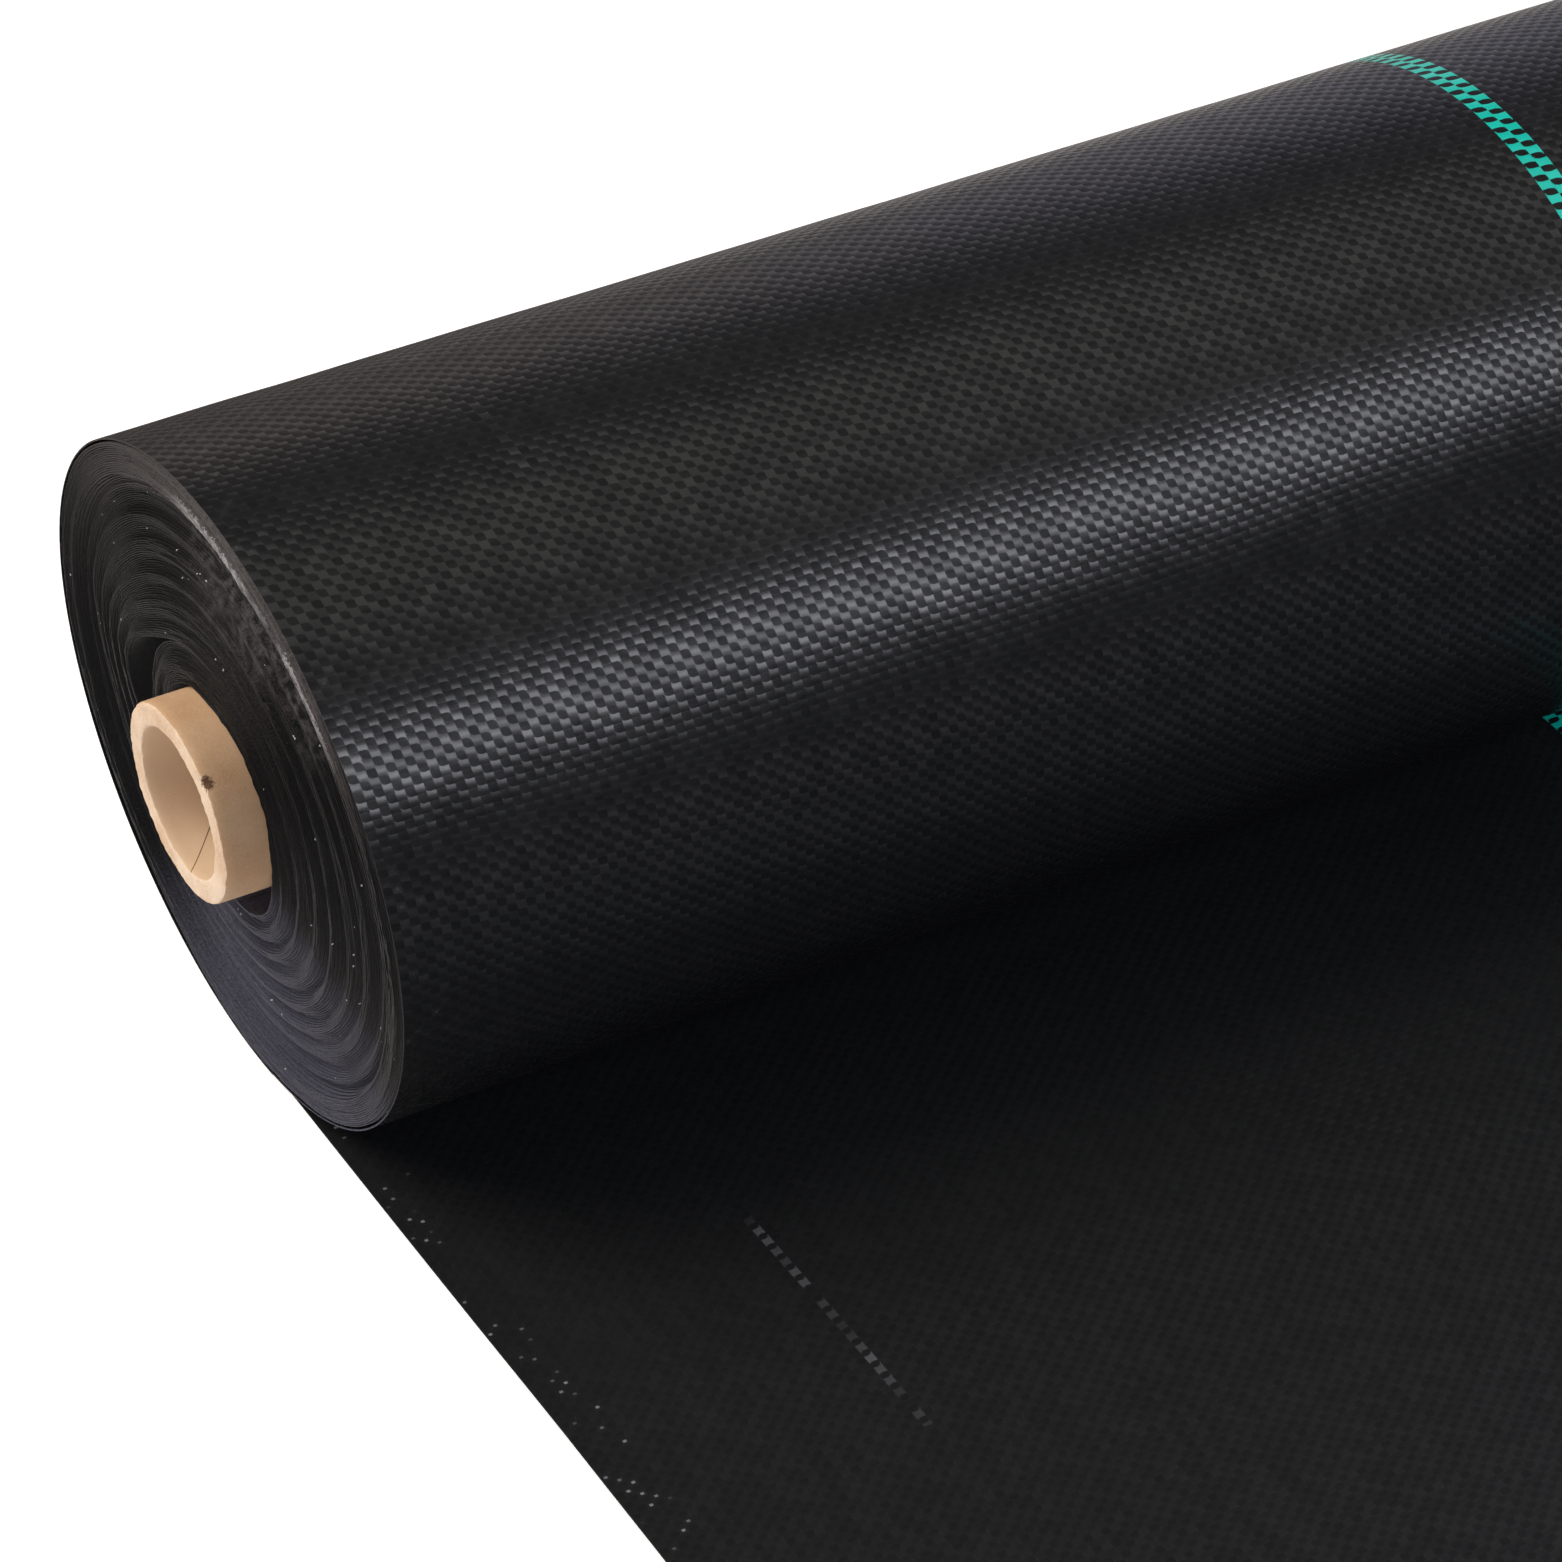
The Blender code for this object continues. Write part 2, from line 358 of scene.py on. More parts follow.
    def _columns(self, add: AddNode, u: Link) -> tuple[Link, Link]:
        """Counts warp tapes from the left edge, two wide guide tapes standing for three narrow ones.

        Args:
            add: Adds a node.
            u: Metres from the cloth's left edge.

        Returns:
            The column count and the guide stripes' mask.
        """
        count = add(MATH, OVER, (u, self.warp_pitch_mm * MM))
        half = self.stripe_span / 2
        column, mask = count, 0.0
        for start in self.stripe_columns:
            inside = add(MATH, WITHIN, (count, start + half, half))
            into = add(MATH, MINUS, (count, float(start)))
            pull = add(MATH, TIMES, (into, inside))
            pull = add(MATH, OVER, (pull, float(self.stripe_span)))
            column = add(MATH, MINUS, (column, pull))
            mask = add(MATH, PLUS, (mask, inside))
        return column, mask

    def _relief(self, add: AddNode, weave: Lattice) -> tuple[Link, Link]:
        """Heights of the two tapes, in parts of the crimp, each a wave along its length with drooping sides.

        Args:
            add: Adds a node.
            weave: The place in the weave.

        Returns:
            The height and the warp's mask.
        """
        turn = add(MATH, TIMES, (weave.along, FULL_TURN))
        wave = add(MATH, COSINE, (turn,))
        warp = add(MATH, TIMES, (wave, -0.5))
        side = add(MATH, UNSIGNED, (weave.across,))
        curl = add(RANGE, SMOOTH, (side, self.warp_flat, 0.5, 0.0, self.warp_droop))
        warp = add(MATH, MINUS, (warp, curl))
        nearest = add(MATH, {"operation": "ROUND"}, (weave.row,))
        turn = add(MATH, PLUS, (weave.column, nearest))
        turn = add(MATH, TIMES_PLUS, (turn, math.pi, -math.pi / 2))
        wave = add(MATH, COSINE, (turn,))
        weft = add(MATH, TIMES_PLUS, (wave, 0.5, -self.weft_sunk))
        side = add(MATH, MINUS, (weave.row, nearest))
        side = add(MATH, UNSIGNED, (side,))
        curl = add(RANGE, SMOOTH, (side, self.weft_flat, 0.5, 0.0, self.weft_droop))
        weft = add(MATH, MINUS, (weft, curl))
        dice = add(SPLIT_COLOUR, {}, (weave.dice,))
        middle = add(MATH, MINUS, (weave.along, 0.5))
        tilts = []
        for number, place in enumerate((weave.across, middle)):
            slope = add(MATH, MINUS, (dice.outputs[number], 0.5))
            tilts.append(add(MATH, TIMES, (slope, place)))
        tilt = add(MATH, PLUS, tilts)
        skew = add(MATH, TIMES, (weave.across, middle))
        warp = add(MATH, TIMES_PLUS, (skew, 2 * self.twist, warp))
        warp = add(MATH, TIMES_PLUS, (tilt, self.lean, warp))
        above = add(MATH, MINUS, (warp, weft))
        is_warp = add(RANGE, {}, (above, *self.seam))
        return add(MATH, {"operation": "SMOOTH_MAX"}, (warp, weft, self.blend)), is_warp

    def _colour(self, add: AddNode, weave: Lattice, is_warp: Link) -> Link:
        """Mixes the tapes' colours: weft, warp, guide tapes and a painted glint along a stretch of one tape.

        Args:
            add: Adds a node.
            weave: The place in the weave.
            is_warp: The warp's mask.

        Returns:
            The colour.
        """
        # Painted glint: one warp tape is painted paler along a stretch, where its sheen catches the light.
        glint_line = add(MATH, WITHIN, (weave.index, float(self.glint_line_column), 0.1))
        bright = add(RANGE, {}, (weave.chance, self.glint_line_least, 1.0, 0.0, self.glint))
        stretch = add(MATH, WITHIN, (weave.v, self.glint_line_middle, self.glint_line_half))
        for share in (bright, stretch):
            glint_line = add(MATH, TIMES, (glint_line, share))
        warp = add(MIX, COLOURS, {0: glint_line, 6: linear(self.warp_colour), 7: linear(self.glint_line_colour)})
        warp = add(MIX, COLOURS, {0: weave.stripe, 6: warp, 7: linear(self.stripe_colour)})
        face = add(MIX, COLOURS, {0: is_warp, 6: linear(self.weft_colour), 7: warp})
        shade = add(RANGE, {}, (weave.chance, 0.0, 1.0, 1 - self.shade_spread, 1 + self.shade_spread))
        return add(MIX, {**COLOURS, "blend_type": "MULTIPLY"}, {0: 1.0, 6: face, 7: shade})

    def _selvedge_glints(self, add: AddNode, weave: Lattice, face: Link) -> Link:
        """Paints glints as pale dots on the crowns of some floats beside both selvedges, in patches.

        Args:
            add: Adds a node.
            weave: The place in the weave.
            face: The cloth's colour.

        Returns:
            The colour.
        """
        far = add(MATH, MINUS, (self.cloth_width, weave.u))
        edge = add(MATH, {"operation": "MINIMUM"}, (weave.u, far))
        near = add(MATH, BELOW, (edge, self.selvedge_mm * MM))
        # Painted glints: pale dots on float crowns near the selvedges, in patches, as bright as glint allows.
        dot = add(MATH, WITHIN, (weave.along, 0.5, self.glint_dot_along))
        crown = add(MATH, WITHIN, (weave.across, 0.0, self.glint_dot_across))
        patch = add(NOISE, FLAT, {"Vector": weave.uv, "Scale": self.glint_patch_rate, "Detail": 1.0})
        glint_patch = add(MATH, TIMES_PLUS, (patch, self.glint_patch_share, weave.chance))
        glint_patch = add(RANGE, {}, (glint_patch, *self.glint_patch_range, 0.0, self.glint))
        for share in (crown, near, glint_patch):
            dot = add(MATH, TIMES, (dot, share))
        return add(MIX, COLOURS, {0: dot, 6: face, 7: linear(self.glint_dot_colour)})


@dataclass(frozen=True)
class TapeEdges:
    """The same tape seen on its cut and turned edges, packed lap on lap.

    The edges are darker and rougher than the face, with here and there the bright end of a
    single tape. Painted highlights make the fuzzed outer rim paler on its upper side, and a ring
    inside the lip and a patch at the top front brighter. A painted reflection of the floor
    makes the lower part paler. The real fuzz and threads are finer than the render shows, so
    they are drawn as specks of 0.8 mm and tufts of 3 mm. Each part of the face named in degrees
    is its middle, from +Y towards +Z, and half its width.
    """

    name: str
    middle: Vector
    rim_start: float = 0.0915
    rim_fade: float = 0.001
    rim_ragged: float = 0.004
    lip_line: float = 0.0065
    lip_line_half: float = 0.0019
    patch_highlight_radius: float = 0.045
    colour: str = "#0b0b0d"
    worn_colour: str = "#151518"
    # Painted highlight colour of the rim's upper side and of a patch at the top front.
    pale_highlight_colour: str = "#524e4f"
    # Painted highlight colour of a ring inside the lip.
    lip_highlight_colour: str = "#a3a1a4"
    # Painted reflection colour of the pale floor on the lower part of the face.
    floor_reflection_colour: str = "#494a5b"
    end_colour: str = "#b9bac2"
    grain_mm: float = 0.8
    thread_mm: float = 3.0
    end_mm: float = 2.4
    end_size: float = 0.15
    end_rarity: float = 0.955
    patch_rate: float = 45.0
    wear: Pair = (0.14, 0.42)
    fuzz: Triple = (0.3, 0.7, 0.4)
    speck: Pair = (0.4, 0.56)
    thread: Pair = (0.42, 0.66)
    bump_mm: float = 0.35
    roughness: float = 0.5
    sheen_level: float = 0.14
    # Sectors of painted light: highlight on the rim, highlight at the top front, reflection of the floor
    # below.
    rim_highlight_degrees: Pair = (96, 64)
    front_highlight_degrees: Pair = (116, 36)
    floor_reflection_degrees: Pair = (262, 58)
    sector_core: float = 0.3

    def material(self) -> bpy.types.Material:
        """Builds the material on Object coordinates centred on the roll's axis.

        Returns:
            The material.
        """
        material, add = new_material(self.name)
        place, apart, radius = about_axis(add, self.middle)
        grain = add(NOISE, {}, {"Vector": place, "Scale": 1 / (self.grain_mm * MM), "Detail": 2.0})
        patch = add(NOISE, {}, {"Vector": place, "Scale": self.patch_rate, "Detail": 3.0})
        wear = add(MATH, TIMES, (grain, patch))
        wear = add(RANGE, {}, (wear, *self.wear))
        ragged = add(MATH, TIMES_PLUS, (grain, self.rim_ragged, radius))
        low, high, least = self.fuzz
        fuzzed = add(RANGE, {}, (grain, low, high, least))
        speck = add(RANGE, {}, (patch, *self.speck))
        rim_highlight, front, floor_reflection = (
            self._sector(add, apart, radius, *sector)
            for sector in (self.rim_highlight_degrees, self.front_highlight_degrees, self.floor_reflection_degrees)
        )
        rim = add(RANGE, SMOOTH, (ragged, self.rim_start - self.rim_fade, self.rim_start + self.rim_fade))
        lip = add(MATH, WITHIN, (ragged, self.rim_start + self.lip_line, self.lip_line_half))
        patch_highlight = add(RANGE, SMOOTH, (radius, self.patch_highlight_radius, self.rim_start))
        threads = add(NOISE, {}, {"Vector": place, "Scale": 1 / (self.thread_mm * MM), "Detail": 3.0})
        threads = add(RANGE, {}, (threads, *self.thread))
        colour = linear(self.colour)
        for mask, shares, paint in (
            (wear, (), self.worn_colour),
            # Painted highlight: the fuzzed rim is paler only on its upper side, where the light falls.
            (rim, (fuzzed, rim_highlight), self.pale_highlight_colour),
            # Painted highlight: a bright speckled ring inside the lip, at the top front.
            (lip, (speck, front), self.lip_highlight_colour),
            # Painted highlight: a pale patch at the top front, between the core and the rim.
            (patch_highlight, (front, threads, speck), self.pale_highlight_colour),
            # Painted reflection of the pale floor on the lower part of the face.
            (floor_reflection, (fuzzed,), self.floor_reflection_colour),
            (self._tape_ends(add, place), (), self.end_colour),
        ):
            for share in shares:
                mask = add(MATH, TIMES, (mask, share))
            colour = add(MIX, COLOURS, {0: mask, 6: colour, 7: linear(paint)})
        bump = add(BUMP, {}, {"Strength": 1.0, "Distance": self.bump_mm * MM, "Height": grain})
        finish = {"Base Color": colour, "Roughness": self.roughness, "IOR": PLASTIC_IOR}
        shader = add(PRINCIPLED, {}, {**finish, "Specular IOR Level": self.sheen_level, "Normal": bump})
        add(SURFACE, {}, (shader,))
        return material

    def _tape_ends(self, add: AddNode, place: Link) -> Link:
        """Masks the scattered bright ends of single tapes.

        Args:
            add: Adds a node.
            place: Place from the roll's middle.

        Returns:
            The mask.
        """
        grid = {"Vector": place, "Scale": 1 / (self.end_mm * MM), "Randomness": 1.0}
        cells = add("ShaderNodeTexVoronoi", {}, grid).outputs
        point = add(MATH, BELOW, (cells["Distance"], self.end_size))
        some = add(SPLIT_COLOUR, {}, (cells["Color"],))
        some = add(MATH, {"operation": "GREATER_THAN"}, (some, self.end_rarity))
        return add(MATH, TIMES, (point, some))

    def _sector(
        self, add: AddNode, apart: bpy.types.NodeOutputs, radius: Link, middle: float, half: float
    ) -> Link:
        """Masks the part of the end face round one direction from the axis.

        Args:
            add: Adds a node.
            apart: The parts of the place.
            radius: Distance from the axis.
            middle: The sector's middle in degrees.
            half: Half the sector in degrees.

        Returns:
            The mask.
        """
        angle, spread = math.radians(middle), math.radians(half)
        up = add(MATH, TIMES, (apart["Z"], math.sin(angle)))
        reach = add(MATH, TIMES_PLUS, (apart["Y"], math.cos(angle), up))
        share = add(MATH, OVER, (reach, radius))
        return add(RANGE, SMOOTH, (share, math.cos(spread), math.cos(self.sector_core * spread)))


@dataclass
class RollShape:
    """Sizes that the winding, the outer lap, the core and the laid end share."""

    axis_y: float
    axis_z: float
    roll_radius: float = 0.105
    core_radius: float = 0.0305
    core_wall: float = 0.0075
    core_overhang: float = 0.0155
    core_cut_up: float = 0.043
    core_cut_back: float = 0.022
    core_slack: float = 0.0008
    torn_angle: float = math.radians(138)
    cloth_width: float = 1.22
    laid_length: float = 0.5
    laid_behind: float = 0.014
    lean_up: float = 0.052
    lean_back: float = 0.037
    lip_width: float = 0.013
    lip_depth: float = 0.0036
    lip_ease: float = 0.004
    dish_at_core: float = -0.6
    ridge_height: float = 0.0013
    ridge_count: int = 7
    ridge_calm: float = 0.6
    loose_behind: float = 0.003
    loose_below: float = 0.009
    pocket_depth: float = 0.013
    pocket_angle: float = math.radians(14)
    pocket_spread: float = math.radians(24)
    pocket_after: float = 0.17

    def point(self, x: float, radius: float, angle: float) -> Vector:
        """Point at this place along the roll, radius and angle from +Y towards +Z."""
        y = self.axis_y + radius * math.cos(angle)
        return Vector((x, y, self.axis_z + radius * math.sin(angle)))

    def core_half(self) -> float:
        """Half the core's length."""
        return self.cloth_width / 2 + self.core_overhang

    def torn_rim(self) -> Vector:
        """Where the core's rim is torn, seen from its axis."""
        return self.core_radius * Vector((0.0, math.cos(self.torn_angle), math.sin(self.torn_angle)))

    def lap_radius(self, share: float, past_pocket: float, angle: float, full: float) -> float:
        """Radius of a lap's outer face, with the slack round the core and the pocket among the laps.

        Args:
            share: Laps below this place, as a share of all.
            past_pocket: One where the lap lies outside the pocket.
            angle: From +Y towards +Z.
            full: The winding's outer radius.

        Returns:
            The radius.
        """
        behind, above = math.cos(angle), math.sin(angle)
        hollow = self.core_radius + self.core_slack + self.loose_behind * max(behind, 0) ** 2
        hollow += self.loose_below * max(-above, 0) ** 2
        turn = math.remainder(angle - self.pocket_angle, FULL_TURN) / self.pocket_spread
        pocket = self.pocket_depth * math.exp(-turn * turn)
        return hollow + (full - hollow - pocket) * share + pocket * past_pocket

    def edge_shift(self, radius: float, angle: float, share: float = 1.0) -> float:
        """How far a lap lies along the roll, with its lean, the sunken face and the ridges.

        Args:
            radius: The lap's radius.
            angle: From +Y towards +Z.
            share: Laps below this place, as a share of all.

        Returns:
            The shift along +X.
        """
        lean = -radius * (self.lean_up * math.sin(angle) + self.lean_back * math.cos(angle))
        depth = self.roll_radius - self.core_radius
        inside = share * depth / (depth - self.lip_width)
        sunken = eased(1 + (depth - self.lip_width - share * depth) / self.lip_ease)
        dish = self.lip_depth * (self.dish_at_core + (1 - self.dish_at_core) * min(inside, 1))
        ridges = self.ridge_height * math.sin(FULL_TURN * self.ridge_count * inside)
        ridges *= 1 - self.ridge_calm * (1 + math.sin(angle)) / 2
        return lean + sunken * (dish + ridges)


@dataclass(frozen=True)
class KraftPaper:
    """Spiral-wound kraft tube, sawn to length.

    Brown unbleached plies glued on a slant: matt and faintly mottled, with a fine ply seam that
    runs round the tube, a paler fuzzy sawn end and a torn brown spot on its rim. The real
    fibres are too fine to show, so they are drawn as flecks of 0.7 mm.
    """

    middle: Vector
    shape: RollShape
    bore_room: float = 0.0006
    torn_inset: float = 0.0012
    torn_ragged: float = 0.0028
    torn_reach: Pair = (0.003, 0.004)
    seam_pitch_mm: float = 127.0
    seam_turn: float = 0.65
    seam_half: float = 0.0016
    ply_mm: float = 0.6
    ply_share: float = 0.4
    fibre_mm: float = 0.7
    fibre_share: float = 0.5
    cloud_rate: float = 60.0
    mottle: Pair = (0.5, 1.05)
    sawn_slope: Pair = (0.35, 0.9)
    sawn_worn: Triple = (0.1, 0.7, 0.35)
    colour: str = "#c59c76"
    light_colour: str = "#dab896"
    # Painted light colour of the bore.
    bore_light_colour: str = "#dcc0a2"
    sawn_colour: str = "#f0dac3"
    seam_colour: str = "#6d4b31"
    torn_colour: str = "#5b3d28"
    bump_mm: float = 0.12
    bump_strength: float = 0.7
    roughness: float = 0.8

    def material(self) -> bpy.types.Material:
        """Builds the material on Object coordinates centred on the tube's axis.

        Returns:
            The material.
        """
        material, add = new_material("spiral_wound_kraft_paper")
        place, apart, radius = about_axis(add, self.middle)
        fibre = add(NOISE, {}, {"Vector": place, "Scale": 1 / (self.fibre_mm * MM), "Detail": 3.0})
        cloud = add(NOISE, {}, {"Vector": place, "Scale": self.cloud_rate, "Detail": 3.0})
        tone = add(MATH, TIMES_PLUS, (fibre, self.fibre_share, cloud))
        tone = add(RANGE, {}, (tone, *self.mottle))
        bore = self.shape.core_radius - self.shape.core_wall + self.bore_room
        sawn = self._sawn_end(add, tone)
        colour = linear(self.colour)
        for mask, paint in (
            (tone, self.light_colour),
            # Painted light: the whole bore is painted lighter, standing in for the light on its lower wall.
            (add(MATH, BELOW, (radius, bore)), self.bore_light_colour),
            (self._seam(add, apart), self.seam_colour),
            (sawn, self.sawn_colour),
            (self._torn_spot(add, place, fibre), self.torn_colour),
        ):
            colour = add(MIX, COLOURS, {0: mask, 6: colour, 7: linear(paint)})
        plies = add(MATH, TIMES, (radius, FULL_TURN / (self.ply_mm * MM)))
        plies = add(MATH, {"operation": "SINE"}, (plies,))
        plies = add(MATH, TIMES, (plies, sawn))
        relief = add(MATH, TIMES_PLUS, (plies, self.ply_share, fibre))
        depth = {"Strength": self.bump_strength, "Distance": self.bump_mm * MM}
        bump = add(BUMP, {}, {**depth, "Height": relief})
        finish = {"Base Color": colour, "Roughness": self.roughness, "IOR": PAPER_IOR, "Normal": bump}
        add(SURFACE, {}, (add(PRINCIPLED, {}, finish),))
        return material

    def _torn_spot(self, add: AddNode, place: Link, fibre: Link) -> Link:
        """Masks the ragged brown spot where the rim is torn.

        Args:
            add: Adds a node.
            place: Place from the roll's middle.
            fibre: The fibres' noise.

        Returns:
            The mask.
        """
        torn = self.shape.torn_rim()
        slant = self.shape.core_cut_back * torn.y + self.shape.core_cut_up * torn.z
        torn.x = self.torn_inset - self.shape.core_half() - slant
        gap = add(VECTOR_MATH, {"operation": "DISTANCE"}, (place, torn)).outputs["Value"]
        ragged = add(MATH, TIMES_PLUS, (fibre, self.torn_ragged, gap))
        return add(RANGE, {}, (ragged, *self.torn_reach, 1.0, 0.0))

    def _seam(self, add: AddNode, apart: bpy.types.NodeOutputs) -> Link:
        """Masks the thin slanting joint between the turns of the paper strip.

        Args:
            add: Adds a node.
            apart: The parts of the place.

        Returns:
            The mask.
        """
        angle = add(MATH, {"operation": "ARCTAN2"}, (apart["Z"], apart["Y"]))
        turns = add(MATH, OVER, (angle, -FULL_TURN))
        slant = add(MATH, OVER, (apart["X"], self.seam_pitch_mm * MM))
        seam = add(MATH, PLUS, (turns, slant))
        seam = add(MATH, PLUS, (seam, self.seam_turn))
        seam = add(MATH, {"operation": "PINGPONG"}, (seam, 0.5))
        return add(MATH, BELOW, (seam, self.seam_half))

    def _sawn_end(self, add: AddNode, tone: Link) -> Link:
        """Masks the sawn ends, less where they are worn.

        Args:
            add: Adds a node.
            tone: The paper's mottle.

        Returns:
            The mask.
        """
        normal = add("ShaderNodeNewGeometry").outputs["True Normal"]
        endways = add(SPLIT, {}, (normal,)).outputs["X"]
        endways = add(MATH, UNSIGNED, (endways,))
        sawn = add(RANGE, {}, (endways, *self.sawn_slope))
        worn = add(RANGE, {}, (tone, *self.sawn_worn))
        return add(MATH, TIMES, (sawn, worn))


@dataclass(frozen=True)
class PaintedFloor:
    """Matt white studio floor, which the lens sees lit up to white, with the roll's faint shadow.

    Reflections in the cloth see painted shade on it: grey far off on the left and dark in front.
    """

    colour: str = "#f4f4f6"
    # Painted shade colours, seen only in reflections: far left and in front.
    far_left_shade_colour: str = "#5f5b57"
    front_shade_colour: str = "#2a2a2c"
    far_edge: Pair = (0.4, 0.6)
    left_edge: Pair = (-0.3, 0.05)
    front_edge: Pair = (-0.55, -0.35)
    white_from_to: Pair = (1.0, 3.0)
    white_levels: Pair = (0.45, 0.97)
    roughness: float = 0.9

    def material(self) -> bpy.types.Material:
        """Builds the material.

        Returns:
            The material.
        """
        material, add = new_material("matt_white_floor")
        place = add(COORDINATES).outputs["Object"]
        apart = add(SPLIT, {}, (place,)).outputs
        ray = add("ShaderNodeLightPath").outputs["Is Camera Ray"]
        far = add(RANGE, SMOOTH, (apart["Y"], *self.far_edge))
        left = add(RANGE, SMOOTH, (apart["X"], *self.left_edge, far, 0.0))
        front = add(RANGE, SMOOTH, (apart["Y"], *self.front_edge, 1.0, 0.0))
        colour = linear(self.colour)
        # Painted shade on the floor's far left and front. Camera rays see the plain white.
        for mask, paint in ((left, self.far_left_shade_colour), (front, self.front_shade_colour), (ray, self.colour)):
            colour = add(MIX, COLOURS, {0: mask, 6: colour, 7: linear(paint)})
        paint = add(PRINCIPLED, {}, {"Base Color": colour, "Roughness": self.roughness})
        away = add(VECTOR_MATH, {"operation": "LENGTH"}, (place,)).outputs["Value"]
        lit = add(RANGE, SMOOTH, (away, *self.white_from_to, *self.white_levels))
        lit = add(MATH, TIMES, (ray, lit))
        white = add("ShaderNodeEmission", {}, (WHITE, lit))
        add(SURFACE, {}, (add("ShaderNodeAddShader", {}, (paint, white)),))
        return material


def flat_cloth(
    name: str,
    width: float,
    length: float,
    segments: tuple[int, int],
    placed: Callable[[float, float], Vector],
    thickness: float,
    materials: list[bpy.types.Material],
) -> bpy.types.Object:
    """Cuts a flat cloth as a grid, keeps its flat place as its UV map and then lays or winds it.

    Args:
        name: The piece's name.
        width: Across the cloth.
        length: Along the cloth.
        segments: Faces across and along.
        placed: Gives a flat point's place in the frame.
        thickness: The cloth's thickness, grown inwards from the placed face.
        materials: The face's material, and the edge's where it differs.

    Returns:
        The piece.
    """
    builder = bmesh.new()
    bmesh.ops.create_grid(builder, x_segments=segments[0], y_segments=segments[1], size=0.5)
    bmesh.ops.translate(builder, verts=builder.verts, vec=(0.5, 0.5, 0.0))
    bmesh.ops.scale(builder, verts=builder.verts, vec=(width, length, 1.0))
    layer = builder.loops.layers.uv.new("flat_cloth")
    for face in builder.faces:
        face.smooth = True
        for loop in face.loops:
            loop[layer].uv = loop.vert.co.xy
    for vert in builder.verts:
        vert.co = placed(vert.co.x, vert.co.y)
    for border in builder.edges:
        border.smooth = len(materials) == 1 or not border.is_boundary
    piece = new_piece(name, builder, materials)
    wall = piece.modifiers.new("cloth_thickness", "SOLIDIFY")
    wall.thickness = thickness
    wall.offset = -1.0
    wall.use_rim = True
    wall.material_offset_rim = len(materials) - 1
    return piece


@dataclass(frozen=True)
class Wander:
    """One scale of the drift of the laps' edges along the roll."""

    reach: float
    per_turn: float
    per_lap: float
    seed: Pair = (0.0, 0.0)

    def at(self, around: Vector, laps: float) -> float:
        """Drift in this direction from the axis, on this lap."""
        return self.reach * noise.noise(around * self.per_turn + Vector((*self.seed, laps * self.per_lap)))


@dataclass
class Winding:
    """The wound laps inside the outermost one, in three spans that differ in how finely they are drawn.

    The real roll has about 230 laps of 0.32 mm cloth, too fine to show, so half as many are drawn.
    """

    shape: RollShape
    laps: int = 112
    cloth_thickness: float = 0.0005
    outer_room: float = 0.0013
    wanders: tuple[Wander, ...] = (
        Wander(0.0011, 0.9, 0.23),
        Wander(0.00033, 2.3, 0.61, (9.0, 0.0)),
        Wander(0.0003, 26.0, 1.7, (0.0, 5.0)),
    )
    spans: tuple[tuple[str, float, float, int], ...] = (
        ("inner_laps", 0.0, 0.45, 96),
        ("middle_laps", 0.45, 0.86, 112),
        ("lip_laps", 0.86, 1.0, 224),
    )

    def radius(self, laps: float, angle: float) -> float:
        """Radius of a lap's outer face.

        Args:
            laps: Laps from the core.
            angle: From +Y towards +Z.

        Returns:
            The radius.
        """
        past = 1.0 if math.floor(laps) >= self.shape.pocket_after * self.laps else 0.0
        full = self.shape.roll_radius - self.outer_room
        return self.shape.lap_radius(laps / self.laps, past, angle, full)

    def place(self, x: float, laps: float) -> Vector:
        """Place of a point of the wound cloth, its edges fuzzy and drifting.

        Args:
            x: Metres from the cloth's left edge.
            laps: Laps from the core.

        Returns:
            The place in the frame.
        """
        angle = BOTTOM + FULL_TURN * (self.laps - laps)
        radius = self.radius(laps, angle)
        around = Vector((math.cos(angle), math.sin(angle), 0.0))
        shift = self.shape.edge_shift(radius, angle, laps / self.laps)
        shift += sum(wander.at(around, laps) for wander in self.wanders)
        return self.shape.point(x - self.shape.cloth_width / 2 + shift, radius, angle)

    def _span_place(self, start: float, turns: float, length: float, x: float, s: float) -> Vector:
        """Place of a point of a span of this start, turns and length, s metres along it."""
        return self.place(x, start + turns * s / length)

    def build(self, finish: bpy.types.Material) -> list[bpy.types.Object]:
        """Args:
            finish: The laps' edges.

        Returns:
            The pieces.
        """
        width = self.shape.cloth_width
        made = []
        for name, first, last, stations in self.spans:
            start, turns = first * self.laps, (last - first) * self.laps
            steps = round(turns * stations)
            path = [self.place(0.0, start + turns * i / steps).yz for i in range(steps + 1)]
            length = sum((b - a).length for a, b in zip(path, path[1:]))
            placed = partial(self._span_place, start, turns, length)
            piece = flat_cloth(name, width, length, (1, steps), placed, self.cloth_thickness, [finish])
            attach(piece, Body.ROLL.value)
            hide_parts("rolled_cloth")
            made.append(piece)
            LOG.info("%s: %.1f m of cloth in %.0f laps", name, length, turns)
        return made


